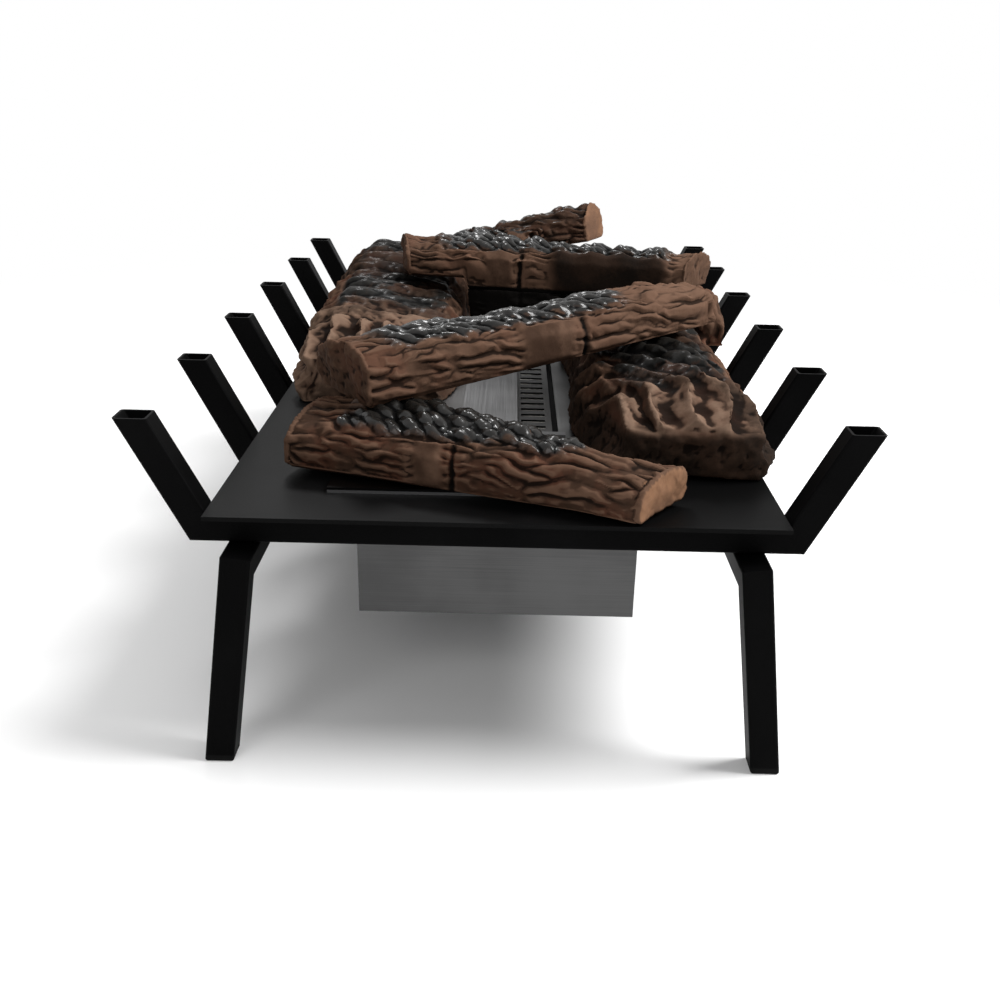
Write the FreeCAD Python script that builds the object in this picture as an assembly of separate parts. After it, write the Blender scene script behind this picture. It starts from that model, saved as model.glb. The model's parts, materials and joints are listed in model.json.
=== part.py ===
"""Bioethanol fire grate with a drop-in burner and a set of cast ceramic logs.

Millimetres, +Z up. The origin is on the floor under the middle of the grate. The long side of
the grate runs along Y, the prongs stand up at -X and +X, and the near end is at -Y.
"""
import FreeCAD
import Part
import math
import os

Vector = FreeCAD.Vector

# Square tube that the whole frame is welded from
TUBE = 20.0
TUBE_WALL = 1.5
TUBE_CORNER = 2.0

# Crossbars and prongs
BAR_COUNT = 6
BAR_PITCH = 146.0
BAR_LENGTH = 407.0
BAR_BOTTOM = 157.0
PRONG_ANGLE_DEG = 63.0
PRONG_RISE = 84.0
SIDE_ARM_GAP = 28.7

# Side frames: a rail with a leg at each end, leaning so that the feet stand wider
RAIL_INSET = 34.0
LEG_LEAD = 23.5
LEG_SPLAY_DEG = 7.9

# Plastic caps in the foot ends of the legs
FOOT_HEAD = 5.0
FOOT_ROUND = 1.6
FOOT_PLUG = 14.0
FOOT_FIT = 0.2

# Top plate
PLATE_THICK = 3.0
PLATE_OVERHANG = 12.5
PLATE_SIDE_GAP = 0.6

# Burner: deck with turned-down rim, casing below it, fuel tank inside
SHEET = 1.5
DECK_WIDTH = 233.6
DECK_SETBACK = 47.0
RIM_HEIGHT = 4.0
FLANGE_WIDTH = 17.0
CASING_DEPTH = 101.5
CUTOUT_GAP = 1.5
TANK_SIDE_GAP = 22.0
TANK_BOTTOM_GAP = 12.0
WOOL_GAP = 0.5
WOOL_DROP = 18.0

# Flame mouth in the deck, its ledge frame and the slotted grille that lies on the ledge
MOUTH_LENGTH = 436.0
MOUTH_WIDTH = 38.0
MOUTH_CENTRE = 26.8
LEDGE_DROP = 6.0
LEDGE_WIDTH = 6.0
GRILLE_WIDTH = 30.2
GRILLE_END_GAP = 3.0
GRILLE_SIDE_GAP = 4.1
SLOT_LENGTH = 20.0
SLOT_WIDTH = 7.0
SLOT_PITCH = 16.1
SLOT_END_MARGIN = 8.0

# Snuffer lid that slides sideways over the mouth, in a guide at each end
LID_WIDTH = 45.3
LID_THICK = 2.0
LID_HEM = 18.0
LID_HEM_STEP = 0.6
LID_END_LAP = 11.0
LID_OPEN_EDGE = 13.4
LID_TRAVEL = 36.0
LID_CLEARANCE = 0.3
LID_HOLE = 9.0
LID_HOLE_INSET = 26.0
GUIDE_LIP = 6.0
GUIDE_MARGIN = 1.0

# Cast ceramic logs, each resting a little clear of what carries it. The base logs reach from an inner
# edge out to the plate's edge. The others are shorter than the plate is wide, and inset from its left edge.
REST_GAP = 0.3
SINK_STEPS = 14
TIP_STEPS = 4

BASE_LOG_LENGTH = 437.0
BASE_LOG_SHIFT = 83.5
BASE_LOG_ROWS = 22
KNUCKLE_ROWS = 3
RIGHT_LOG_INNER = 54.0
RIGHT_LOG_OVERHANG = 4.4
RIGHT_LOG_HEIGHT = 70.0
RIGHT_KNOT_LENGTH = 84.0
RIGHT_KNOT_WIDTH = 40.0
RIGHT_KNOT_HEIGHT = 50.0
RIGHT_KNOT_OVERHANG = 9.4
RIGHT_KNOT_Y = -64.0
RIGHT_KNOT_LIFT = 40.0
LEFT_LOG_INNER = 36.0
LEFT_LOG_MARGIN = 2.6
LEFT_LOG_HEIGHT = 84.0
RIM_CLEARANCE = 2.0

FRONT_LOG_SHORT = 119.3
FRONT_LOG_WIDTH = 96.0
FRONT_LOG_HEIGHT = 40.0
FRONT_LOG_INSET = 40.6
FRONT_LOG_SETBACK = 79.5
FRONT_LOG_TURN_DEG = -18.8

MIDDLE_LOG_SHORT = 63.3
MIDDLE_LOG_WIDTH = 89.0
MIDDLE_LOG_HEIGHT = 50.0
MIDDLE_LOG_INSET = 100.6
MIDDLE_LOG_SETBACK = 97.5
MIDDLE_LOG_TURN_DEG = 32.2

BACK_LOG_SHORT = 85.3
BACK_LOG_WIDTH = 86.0
BACK_LOG_HEIGHT = 39.0
BACK_LOG_INSET = 93.6
BACK_LOG_SETBACK = 454.5
BACK_LOG_TURN_DEG = -9.7
BACK_LIMB_LENGTH = 196.0
BACK_LIMB_WIDTH = 46.0
BACK_LIMB_HEIGHT = 38.0
BACK_LIMB_TURN_DEG = 10.0
BACK_LIMB_RISE_DEG = 8.5
BACK_LOG_LUMPS = 9
BACK_LIMB_LUMPS = 6
BACK_STUB_LENGTH = 78.0
BACK_STUB_WIDTH = 50.0
BACK_STUB_DROP = 46.0
BACK_STUB_ROOT = 12.0
BACK_STUB_ALONG = 68.0
BACK_STUB_SETBACK = 5.0

# Log outlines: shares of the width, front or inner side first, and of the height
CUT_LOG_SECTION_SHARES = (
    (0.07, 0.0), (0.93, 0.0), (1.0, 0.18), (0.99, 0.6), (0.9, 0.86),
    (0.64, 1.0), (0.34, 0.97), (0.1, 0.8), (0.01, 0.58), (0.0, 0.12))
RIGHT_LOG_CROWN_SHARES = (
    (1.0, 0.26), (0.98, 0.55), (0.93, 0.7), (0.84, 0.87), (0.74, 0.95), (0.64, 1.0),
    (0.54, 0.98), (0.44, 0.95), (0.34, 0.91), (0.24, 0.85), (0.14, 0.78), (0.03, 0.5))
LEFT_LOG_CROWN_SHARES = (
    (1.0, 0.28), (0.98, 0.58), (0.92, 0.8), (0.84, 0.91), (0.76, 0.98), (0.68, 0.99), (0.6, 0.97),
    (0.52, 0.95), (0.44, 0.92), (0.36, 0.89), (0.28, 0.86), (0.2, 0.83), (0.12, 0.79), (0.03, 0.55))
BASE_LOG_FOOT_SHARE = 0.93
# How far a groove lies in from the outline
KNUCKLE_GROOVE_SHARE = 0.17
BASE_LOG_GROOVE_SHARE = 0.1
BACK_LOG_GROOVE_SHARE = 0.12

# Cut log stations: along the front, along the back, width, height, back to front height, drop of the front
FRONT_LOG_STATION_SHARES = (
    (0.0, -0.01, 0.92, 0.94, 1.0, 0.0), (0.28, 0.28, 1.0, 1.0, 1.0, 0.0),
    (0.6, 0.65, 0.57, 0.96, 1.0, 0.0), (0.8, 0.84, 0.48, 0.84, 1.0, 0.0),
    (0.96, 1.037, 0.577, 0.7, 1.0, 0.09))
MIDDLE_LOG_STATION_SHARES = (
    (0.0, -0.01, 1.0, 1.06, 0.62, 0.0), (0.2, 0.2, 0.95, 0.98, 0.66, 0.0),
    (0.4, 0.41, 0.74, 0.86, 0.8, 0.0), (0.62, 0.63, 0.62, 0.76, 1.0, 0.0),
    (0.82, 0.83, 0.6, 0.8, 1.0, 0.0), (0.99, 0.95, 0.5, 0.66, 1.0, 0.0))
BACK_LOG_STATION_SHARES = (
    (0.0, -0.1, 1.0, 0.92, 1.0, 0.0), (0.25, 0.25, 0.96, 1.0, 1.0, 0.0),
    (0.5, 0.5, 0.62, 0.98, 1.0, 0.0), (0.75, 0.75, 0.58, 0.94, 1.0, 0.0),
    (0.92, 1.0, 0.56, 0.9, 1.0, 0.0))
BACK_LIMB_STATION_SHARES = (
    (0.0, 0.0, 0.9, 0.7, 1.0, 0.0), (0.45, 0.45, 1.0, 0.8, 1.0, 0.0),
    (0.75, 0.75, 0.92, 1.0, 1.0, 0.0), (1.0, 0.97, 0.84, 0.98, 1.0, 0.0))
BACK_LIMB_ROOT_SHARE = 0.45
BACK_STUB_STATION_SHARES = (
    (0.0, 0.0, 0.8, 0.98, 1.0, 0.0), (0.18, 0.18, 1.0, 1.0, 1.0, 0.0),
    (0.8, 0.8, 0.96, 1.0, 1.0, 0.0), (1.0, 1.0, 0.75, 0.97, 1.0, 0.0))
RIGHT_KNOT_STATION_SHARES = (
    (0.0, 0.0, 0.55, 0.45, 1.0, 0.0), (0.3, 0.3, 0.95, 1.0, 0.9, 0.0),
    (0.65, 0.65, 1.0, 0.96, 0.9, 0.0), (1.0, 1.0, 0.6, 0.42, 1.0, 0.0))
# Base log stations: along, inner edge, outer edge, height
RIGHT_LOG_STATION_SHARES = (
    (-0.5, 0.17, 1.0, 0.68), (-0.41, 0.08, 1.01, 0.96), (-0.28, 0.0, 0.99, 1.0),
    (0.0, 0.05, 0.97, 0.97), (0.25, 0.01, 1.0, 1.04), (0.42, 0.03, 0.97, 0.98),
    (0.5, 0.1, 0.9, 0.72))
LEFT_LOG_STATION_SHARES = (
    (-0.5, 0.06, 0.94, 0.62), (-0.42, 0.02, 0.99, 0.84), (-0.2, 0.0, 1.0, 0.84),
    (0.08, 0.03, 0.99, 0.9), (0.3, 0.0, 1.0, 1.0), (0.42, 0.05, 0.97, 0.95),
    (0.5, 0.12, 0.88, 0.7))

# Worked out from the sizes above
BAR_SPAN = BAR_PITCH * (BAR_COUNT - 1)
BAR_HALF = BAR_LENGTH / 2
BAR_TOP = BAR_BOTTOM + TUBE
RAIL_SPACING = BAR_LENGTH - 2 * RAIL_INSET
PRONG_ANGLE = math.radians(PRONG_ANGLE_DEG)
SPLAY = math.radians(LEG_SPLAY_DEG)
INNER_TUBE = TUBE - 2 * TUBE_WALL
INNER_CORNER = TUBE_CORNER * INNER_TUBE / TUBE
RAIL_LENGTH = BAR_SPAN + TUBE + 2 * LEG_LEAD
RAIL_RISE = (TUBE / 2 - TUBE_CORNER) * (math.sin(SPLAY) + math.cos(SPLAY)) + TUBE_CORNER
CUT_SIZE = 4 * BAR_SPAN

PLATE_TOP = BAR_TOP + PLATE_THICK
PLATE_LENGTH = BAR_SPAN + TUBE + 2 * PLATE_OVERHANG
PLATE_WIDTH = 2 * (BAR_HALF - TUBE * math.tan(PRONG_ANGLE / 2) - PLATE_SIDE_GAP)
PLATE_NEAR = -PLATE_LENGTH / 2

DECK_LENGTH = PLATE_LENGTH - 2 * DECK_SETBACK
DECK_TOP = PLATE_TOP + RIM_HEIGHT
DECK_UNDER = DECK_TOP - SHEET
CASING_WIDTH = DECK_WIDTH - 2 * FLANGE_WIDTH
CASING_LENGTH = DECK_LENGTH - 2 * FLANGE_WIDTH
CASING_BOTTOM = DECK_UNDER - CASING_DEPTH
TANK_WIDTH = CASING_WIDTH - 2 * (SHEET + TANK_SIDE_GAP)
TANK_LENGTH = CASING_LENGTH - 2 * (SHEET + TANK_SIDE_GAP)
TANK_BOTTOM = CASING_BOTTOM + SHEET + TANK_BOTTOM_GAP
LEDGE_TOP = DECK_TOP - LEDGE_DROP
MOUTH_FAR_SIDE = MOUTH_CENTRE + MOUTH_WIDTH / 2
GRILLE_CENTRE = MOUTH_FAR_SIDE - GRILLE_SIDE_GAP - GRILLE_WIDTH / 2
GRILLE_LENGTH = MOUTH_LENGTH - 2 * GRILLE_END_GAP
LID_LENGTH = MOUTH_LENGTH + 2 * LID_END_LAP
LID_BOTTOM = DECK_TOP + LID_CLEARANCE
LID_CROWN = LID_BOTTOM + LID_THICK + LID_HEM_STEP
LID_LEFT = LID_OPEN_EDGE - LID_WIDTH

PLATE_EDGE = PLATE_WIDTH / 2
LOG_FLOOR = DECK_TOP + REST_GAP
RIGHT_LOG_WIDTH = PLATE_EDGE + RIGHT_LOG_OVERHANG - RIGHT_LOG_INNER
LEFT_LOG_WIDTH = PLATE_EDGE - LEFT_LOG_MARGIN - LEFT_LOG_INNER
FRONT_LOG_LENGTH = PLATE_WIDTH - FRONT_LOG_SHORT
MIDDLE_LOG_LENGTH = PLATE_WIDTH - MIDDLE_LOG_SHORT
BACK_LOG_LENGTH = PLATE_WIDTH - BACK_LOG_SHORT


def block(width, length, height, centre_x, centre_y, bottom):
    """An upright box, placed by the middle of its underside."""
    corner = Vector(centre_x - width / 2, centre_y - length / 2, bottom)
    return Part.makeBox(width, length, height, corner)


def open_box(width, length, bottom, top, wall):
    """A sheet-metal box, open at the top, about the Z axis."""
    outer = block(width, length, top - bottom, 0, 0, bottom)
    inner = block(width - 2 * wall, length - 2 * wall, top - bottom, 0, 0, bottom + wall)
    return outer.cut(inner)


def rounded_square(size, corner):
    """A face in the XY plane: a square about the origin with round corners."""
    half = size / 2
    straight = half - corner
    middle = corner * (1 - math.sqrt(0.5))
    edges = []
    for quarter in range(4):
        turn = FreeCAD.Rotation(Vector(0, 0, 1), 90 * quarter)
        run = [turn.multVec(Vector(half, y, 0)) for y in (-straight, straight)]
        bend = [turn.multVec(Vector(half - middle, half - middle, 0)),
                turn.multVec(Vector(straight, half, 0))]
        edges.append(Part.LineSegment(run[0], run[1]).toShape())
        edges.append(Part.Arc(run[1], bend[0], bend[1]).toShape())
    return Part.Face(Part.Wire(edges))


def square_tube(length):
    """Hollow square tube, standing on the origin along +Z."""
    rise = Vector(0, 0, length)
    outer = rounded_square(TUBE, TUBE_CORNER).extrude(rise)
    return outer.cut(rounded_square(INNER_TUBE, INNER_CORNER).extrude(rise))


def cut_beyond(shape, point, normal):
    """The shape without what lies past a plane, on the side that its normal points to."""
    waste = block(CUT_SIZE, CUT_SIZE, CUT_SIZE, 0, 0, 0)
    waste.Placement = FreeCAD.Placement(point, FreeCAD.Rotation(Vector(0, 0, 1), normal))
    return shape.cut(waste)


def lay(shape, direction, start):
    """A shape made along +Z, laid along another direction in the XZ plane, square to Y."""
    lean = math.degrees(math.atan2(direction.x, direction.z))
    shape.Placement = FreeCAD.Placement(start, FreeCAD.Rotation(Vector(0, 1, 0), lean))
    return shape


def mirrored(shape):
    """The same piece on the other side of the grate."""
    return shape.mirror(Vector(0, 0, 0), Vector(1, 0, 0))


# Frame of the grate

def bar_places():
    return [BAR_PITCH * index - BAR_SPAN / 2 for index in range(BAR_COUNT)]


def prong_mitre(place):
    """Outer bottom corner of a bar at +X, and the normal of the mitre there."""
    corner = Vector(BAR_HALF, place, BAR_BOTTOM)
    normal = Vector(1 + math.cos(PRONG_ANGLE), 0, math.sin(PRONG_ANGLE))
    return corner, normal


def arm(place, inner_end):
    """Horizontal tube from inner_end out to the mitre of the +X prong."""
    corner, normal = prong_mitre(place)
    start = Vector(inner_end, place, BAR_BOTTOM + TUBE / 2)
    tube = lay(square_tube(BAR_HALF - inner_end + TUBE), Vector(1, 0, 0), start)
    return cut_beyond(tube, corner, normal)


def crossbar(place):
    """Full bar, mitred at both ends, for the two ends of the grate."""
    corner, normal = prong_mitre(place)
    bar = arm(place, -BAR_HALF)
    return cut_beyond(bar, Vector(-corner.x, corner.y, corner.z), Vector(-normal.x, 0, normal.z))


def prong(place):
    """Upturned tube at +X, mitred to its bar and cut level and open at the tip."""
    corner, normal = prong_mitre(place)
    along = Vector(math.cos(PRONG_ANGLE), 0, math.sin(PRONG_ANGLE))
    inward = Vector(-math.sin(PRONG_ANGLE), 0, math.cos(PRONG_ANGLE))
    start = corner + inward * (TUBE / 2) - along * TUBE
    tube = lay(square_tube(2 * TUBE + PRONG_RISE / math.sin(PRONG_ANGLE)), along, start)
    tube = cut_beyond(tube, corner, normal * -1)
    return cut_beyond(tube, Vector(corner.x, place, BAR_BOTTOM + PRONG_RISE), Vector(0, 0, 1))


def lean_out(shape):
    """Side-frame piece, made upright about the rail's axis, set in place at +X."""
    place = Vector(RAIL_SPACING / 2, 0, BAR_BOTTOM - RAIL_RISE)
    lean = FreeCAD.Placement(place, FreeCAD.Rotation(Vector(0, 1, 0), -LEG_SPLAY_DEG))
    shape.Placement = lean.multiply(shape.Placement)
    return shape


def rail_mitre(end):
    """Outer top corner of the side frame at its near (-1) or far (+1) end, and the mitre there."""
    return Vector(0, end * RAIL_LENGTH / 2, TUBE / 2), Vector(0, end, -1)


def rail():
    tube = square_tube(RAIL_LENGTH)
    turn = FreeCAD.Rotation(Vector(1, 0, 0), -90)
    tube.Placement = FreeCAD.Placement(Vector(0, -RAIL_LENGTH / 2, 0), turn)
    for end in (-1, 1):
        corner, normal = rail_mitre(end)
        tube = cut_beyond(tube, corner, normal)
    return lean_out(tube)


def leg_column(end, section):
    """Column along a leg's axis, from the top of its rail to below the floor."""
    drop = BAR_BOTTOM / math.cos(SPLAY) + TUBE
    column = section.extrude(Vector(0, 0, drop))
    column.translate(Vector(0, end * (RAIL_LENGTH - TUBE) / 2, TUBE / 2 - drop))
    return column


def leg(end):
    tube = leg_column(end, rounded_square(TUBE, TUBE_CORNER))
    tube = tube.cut(leg_column(end, rounded_square(INNER_TUBE, INNER_CORNER)))
    corner, normal = rail_mitre(end)
    tube = lean_out(cut_beyond(tube, corner, normal * -1))
    return cut_beyond(tube, Vector(0, 0, FOOT_HEAD), Vector(0, 0, -1))


def foot_cap(end):
    """Cap on the foot end of a leg: a head under the tube and a plug inside it."""
    head = lean_out(leg_column(end, rounded_square(TUBE, TUBE_CORNER)))
    head = cut_beyond(head, Vector(0, 0, FOOT_HEAD), Vector(0, 0, 1))
    head = cut_beyond(head, Vector(0, 0, 0), Vector(0, 0, -1))
    sole = [edge for edge in head.Edges if edge.BoundBox.ZMax < FOOT_HEAD / 2]
    head = head.makeFillet(min(FOOT_ROUND, FOOT_HEAD / 2), sole)
    plug_size = INNER_TUBE - 2 * FOOT_FIT
    plug = lean_out(leg_column(end, rounded_square(plug_size, INNER_CORNER * plug_size / INNER_TUBE)))
    plug = cut_beyond(plug, Vector(0, 0, FOOT_HEAD + FOOT_PLUG), Vector(0, 0, 1))
    plug = cut_beyond(plug, Vector(0, 0, FOOT_HEAD), Vector(0, 0, -1))
    return head.fuse(plug).removeSplitter()


def top_plate():
    """Flat plate between the prongs, with the opening that the burner hangs in."""
    plate = block(PLATE_WIDTH, PLATE_LENGTH, PLATE_THICK, 0, 0, BAR_TOP)
    opening = block(CASING_WIDTH + 2 * CUTOUT_GAP, CASING_LENGTH + 2 * CUTOUT_GAP,
                    PLATE_THICK, 0, 0, BAR_TOP)
    return plate.cut(opening)


# Burner

def burner_deck():
    """Top sheet with its edge turned down on to the plate, and the flame mouth cut in it."""
    deck = block(DECK_WIDTH, DECK_LENGTH, RIM_HEIGHT, 0, 0, PLATE_TOP)
    hollow = block(DECK_WIDTH - 2 * SHEET, DECK_LENGTH - 2 * SHEET, RIM_HEIGHT - SHEET, 0, 0, PLATE_TOP)
    mouth = block(MOUTH_WIDTH, MOUTH_LENGTH, SHEET, MOUTH_CENTRE, 0, DECK_UNDER)
    return deck.cut(hollow).cut(mouth)


def burner_casing():
    return open_box(CASING_WIDTH, CASING_LENGTH, CASING_BOTTOM, DECK_UNDER, SHEET)


def fuel_tank():
    return open_box(TANK_WIDTH, TANK_LENGTH, TANK_BOTTOM, DECK_UNDER, SHEET)


def fuel_wool():
    """Block of ceramic fibre that soaks up the fuel."""
    side = 2 * (SHEET + WOOL_GAP)
    bottom = TANK_BOTTOM + SHEET
    return block(TANK_WIDTH - side, TANK_LENGTH - side, DECK_TOP - WOOL_DROP - bottom, 0, 0, bottom)


def mouth_ledge():
    """Angle frame under the mouth: a wall down from the deck and a ledge turned inwards."""
    height = DECK_UNDER - LEDGE_TOP + SHEET
    frame = block(MOUTH_WIDTH + 2 * SHEET, MOUTH_LENGTH + 2 * SHEET, height,
                  MOUTH_CENTRE, 0, LEDGE_TOP - SHEET)
    well = block(MOUTH_WIDTH, MOUTH_LENGTH, height, MOUTH_CENTRE, 0, LEDGE_TOP)
    passage = block(MOUTH_WIDTH - 2 * LEDGE_WIDTH, MOUTH_LENGTH - 2 * LEDGE_WIDTH, height,
                    MOUTH_CENTRE, 0, LEDGE_TOP - SHEET)
    return frame.cut(well).cut(passage)


def flame_grille():
    """Strip with a ladder of cross slots, lying on the ledge."""
    strip = block(GRILLE_WIDTH, GRILLE_LENGTH, SHEET, GRILLE_CENTRE, 0, LEDGE_TOP)
    room = GRILLE_LENGTH - 2 * (LEDGE_WIDTH + SLOT_END_MARGIN)
    count = int(room // SLOT_PITCH)
    slots = [block(SLOT_LENGTH, SLOT_WIDTH, SHEET, GRILLE_CENTRE,
                   SLOT_PITCH * (index - (count - 1) / 2), LEDGE_TOP) for index in range(count)]
    return strip.cut(slots)


def snuffer_lid():
    """Flat lid beside the mouth, with a folded edge and a hole for the hook that draws it."""
    middle = LID_OPEN_EDGE - LID_WIDTH / 2
    sheet = block(LID_WIDTH, LID_LENGTH, LID_THICK, middle, 0, LID_BOTTOM)
    hem = block(LID_HEM, LID_LENGTH, LID_HEM_STEP, LID_OPEN_EDGE - LID_HEM / 2, 0, LID_BOTTOM + LID_THICK)
    hole_at = Vector(LID_LEFT + (LID_WIDTH - LID_HEM) / 2, LID_LENGTH / 2 - LID_HOLE_INSET, LID_BOTTOM)
    hole = Part.makeCylinder(LID_HOLE / 2, LID_THICK, hole_at)
    return sheet.fuse(hem).removeSplitter().cut(hole)


def lid_guide(end):
    """Angle strip on the deck that holds down one end of the lid and lets it slide."""
    length = LID_WIDTH + LID_TRAVEL + 2 * GUIDE_MARGIN
    middle = LID_LEFT + length / 2 - GUIDE_MARGIN
    inside = LID_LENGTH / 2 + LID_CLEARANCE
    top = LID_CROWN + LID_CLEARANCE
    wall = block(length, SHEET, top - DECK_TOP, middle, end * (inside + SHEET / 2), DECK_TOP)
    lip = block(length, GUIDE_LIP + SHEET, SHEET, middle, end * (inside + (SHEET - GUIDE_LIP) / 2), top)
    return wall.fuse(lip).removeSplitter()


# Ceramic logs

def solid_through(outlines):
    """Faceted solid through flat outlines that have the same number of points."""
    faces = []
    for near, far in zip(outlines, outlines[1:]):
        for index in range(len(near)):
            after = (index + 1) % len(near)
            for corners in ((near[index], near[after], far[after]), (near[index], far[after], far[index])):
                faces.append(Part.Face(Part.makePolygon([*corners, corners[0]])))
    for outline in (outlines[0], outlines[-1]):
        faces.append(Part.Face(Part.makePolygon([*outline, outline[0]])))
    solid = Part.makeSolid(Part.makeShell(faces))
    if solid.Volume < 0:
        solid.reverse()
    return solid.removeSplitter()


def between(rows, count):
    """Rows of shares, evenly spaced along the first column from the first row to the last."""
    spaced = []
    for index in range(count + 1):
        place = rows[0][0] + (rows[-1][0] - rows[0][0]) * index / count
        for near, far in zip(rows, rows[1:]):
            if place <= far[0]:
                break
        part = (place - near[0]) / (far[0] - near[0])
        spaced.append([start + (end - start) * part for start, end in zip(near, far)])
    return spaced


def lumpy(station_shares, lumps):
    """A cut log's stations with a row of lumps on its back, and a groove after each but the last."""
    rows = between(station_shares, 2 * lumps)
    for row in rows[1::2]:
        row[3] *= 1 - BACK_LOG_GROOVE_SHARE
    return rows


def groove_share(row, column, stagger):
    """How far a base log's crown dips: between knuckles at the near end, and between lumps behind them."""
    if row == BASE_LOG_ROWS:
        return 0
    if row < KNUCKLE_ROWS:
        return KNUCKLE_GROOVE_SHARE * (column % 2)
    return BASE_LOG_GROOVE_SHARE * ((row + stagger * column) % 2)


def base_log(inner_edge, log_width, log_height, shift, crown_shares, station_shares, stagger):
    """Big half log at +X beside the burner, low side inwards, standing on the deck and the plate.

    Its lumps stand in rows right across the log, or with a stagger of 1 between those of the next row.
    """
    step = DECK_WIDTH / 2 + RIM_CLEARANCE
    outlines = []
    for row, station in enumerate(between(station_shares, BASE_LOG_ROWS)):
        along_share, inner_share, outer_share, height_share = station
        inner = inner_edge + log_width * inner_share
        width = log_width * (outer_share - inner_share)
        place = BASE_LOG_LENGTH * along_share + shift
        outline = [Vector(inner, place, LOG_FLOOR), Vector(step, place, LOG_FLOOR),
                   Vector(inner + width * BASE_LOG_FOOT_SHARE, place, PLATE_TOP + REST_GAP)]
        for column, (across_share, up_share) in enumerate(crown_shares):
            keep_share = 1 - groove_share(row, column, stagger)
            across = width / 2 + width * (across_share - 1 / 2) * keep_share
            rise = log_height * height_share * up_share * keep_share
            outline.append(Vector(inner + across, place, PLATE_TOP + rise))
        outlines.append(outline)
    return solid_through(outlines)


def cut_log(length, width, height, station_shares):
    """Log along +X from the origin, its front edge on the X axis and its back towards +Y."""
    outlines = []
    for front_share, back_share, width_share, height_share, back_height_share, drop_share in station_shares:
        outline = []
        for across_share, up_share in CUT_LOG_SECTION_SHARES:
            slope_share = 1 + (back_height_share - 1) * across_share
            outline.append(Vector(
                length * (front_share + (back_share - front_share) * across_share),
                width * width_share * across_share,
                height * (height_share * slope_share * up_share - drop_share * (1 - across_share))))
        outlines.append(outline)
    return solid_through(outlines)


def turned(shape, start, turn_deg, rise_deg):
    """A log tipped up by rise_deg along its length, turned about Z and moved to its start."""
    tip = FreeCAD.Rotation(Vector(0, 1, 0), -rise_deg)
    turn = FreeCAD.Rotation(Vector(0, 0, 1), turn_deg)
    shape.Placement = FreeCAD.Placement(start, turn.multiply(tip))
    return shape


def sink(shape, carrier):
    """How far a log can sink before it is REST_GAP from its carrier, and where it then touches."""
    clear = shape.BoundBox.ZMin - carrier.BoundBox.ZMax - REST_GAP
    blocked = shape.BoundBox.ZMin - carrier.BoundBox.ZMin
    touch = carrier.BoundBox.Center
    for _ in range(SINK_STEPS):
        middle = (clear + blocked) / 2
        gap, points, _ = shape.translated(Vector(0, 0, -middle)).distToShape(carrier)
        if gap < REST_GAP:
            blocked = middle
        else:
            clear = middle
            touch = points[0][1]
    return clear, touch


def laid_across(log, inset, setback, turn_deg, first, second):
    """A log tipped until it rests on both its carriers: first near its start, second near its end."""
    start = Vector(inset - PLATE_EDGE, PLATE_NEAR + setback, max(first.BoundBox.ZMax, second.BoundBox.ZMax))
    rise_deg = 0
    for _ in range(TIP_STEPS):
        placed = turned(log, start, turn_deg, rise_deg)
        first_drop, first_touch = sink(placed, first)
        second_drop, second_touch = sink(placed, second)
        lever = math.hypot(second_touch.x - first_touch.x, second_touch.y - first_touch.y)
        rise_deg += math.degrees(math.atan2(first_drop - second_drop, lever))
    return placed.translated(Vector(0, 0, -min(first_drop, second_drop)))


def right_log():
    """Base log with the stump of a knot on its outer shoulder."""
    log = base_log(RIGHT_LOG_INNER, RIGHT_LOG_WIDTH, RIGHT_LOG_HEIGHT, -BASE_LOG_SHIFT,
                   RIGHT_LOG_CROWN_SHARES, RIGHT_LOG_STATION_SHARES, 1)
    knot = cut_log(RIGHT_KNOT_LENGTH, RIGHT_KNOT_WIDTH, RIGHT_KNOT_HEIGHT, RIGHT_KNOT_STATION_SHARES)
    place = Vector(PLATE_EDGE + RIGHT_KNOT_OVERHANG, RIGHT_KNOT_Y, PLATE_TOP + RIGHT_KNOT_LIFT)
    return log.fuse(turned(knot, place, 90, 0)).removeSplitter()


def left_log():
    return mirrored(base_log(LEFT_LOG_INNER, LEFT_LOG_WIDTH, LEFT_LOG_HEIGHT, BASE_LOG_SHIFT,
                             LEFT_LOG_CROWN_SHARES, LEFT_LOG_STATION_SHARES, 0))


def front_log():
    log = cut_log(FRONT_LOG_LENGTH, FRONT_LOG_WIDTH, FRONT_LOG_HEIGHT, FRONT_LOG_STATION_SHARES)
    start = Vector(FRONT_LOG_INSET - PLATE_EDGE, PLATE_NEAR + FRONT_LOG_SETBACK, LOG_FLOOR)
    return turned(log, start, FRONT_LOG_TURN_DEG, 0)


def middle_log(front, right):
    """Log laid across the front log and the right base log."""
    log = cut_log(MIDDLE_LOG_LENGTH, MIDDLE_LOG_WIDTH, MIDDLE_LOG_HEIGHT, MIDDLE_LOG_STATION_SHARES)
    return laid_across(log, MIDDLE_LOG_INSET, MIDDLE_LOG_SETBACK, MIDDLE_LOG_TURN_DEG, front, right)


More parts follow.
